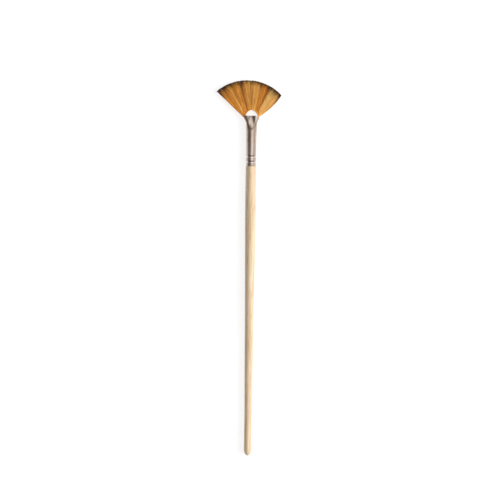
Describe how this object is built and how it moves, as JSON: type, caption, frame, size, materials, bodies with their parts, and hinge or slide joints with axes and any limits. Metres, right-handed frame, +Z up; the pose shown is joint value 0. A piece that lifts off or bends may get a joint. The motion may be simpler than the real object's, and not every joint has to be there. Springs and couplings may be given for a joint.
{
  "type": "fan paint brush",
  "caption": "Artist's fan brush lying flat: turned wooden handle, crimped metal ferrule with a pinched mouth, and an open fan of synthetic filaments with a half-moon gap at its foot.",
  "frame": {"origin": "on the ground, under the middle of the part's bounding box", "axes": "+Y along the handle's axis from its tail to the bristles, +X across the fan, to the right when the fan's front is seen with the bristles up, +Z up, out of the fan's front"},
  "size_m": [0.0414, 0.2404, 0.0068],
  "materials": {
    "handle": "gloss",
    "ferrule": "satin",
    "epoxy": "gloss",
    "bristles": "satin"
  },
  "bodies": {
    "root": {"handle": "handle", "ferrule": "ferrule", "epoxy_plug": "epoxy", "bristles_front_1": "bristles", "bristles_front_2": "bristles", "bristles_front_3": "bristles", "bristles_front_4": "bristles", "bristles_front_5": "bristles", "bristles_front_6": "bristles", "bristles_front_7": "bristles", "bristles_front_8": "bristles", "bristles_middle_1": "bristles", "bristles_middle_2": "bristles", "bristles_middle_3": "bristles", "bristles_middle_4": "bristles", "bristles_middle_5": "bristles", "bristles_middle_6": "bristles", "bristles_middle_7": "bristles", "bristles_middle_8": "bristles", "bristles_back_1": "bristles", "bristles_back_2": "bristles", "bristles_back_3": "bristles", "bristles_back_4": "bristles", "bristles_back_5": "bristles", "bristles_back_6": "bristles", "bristles_back_7": "bristles", "bristles_back_8": "bristles"}
  },
  "joints": []
}
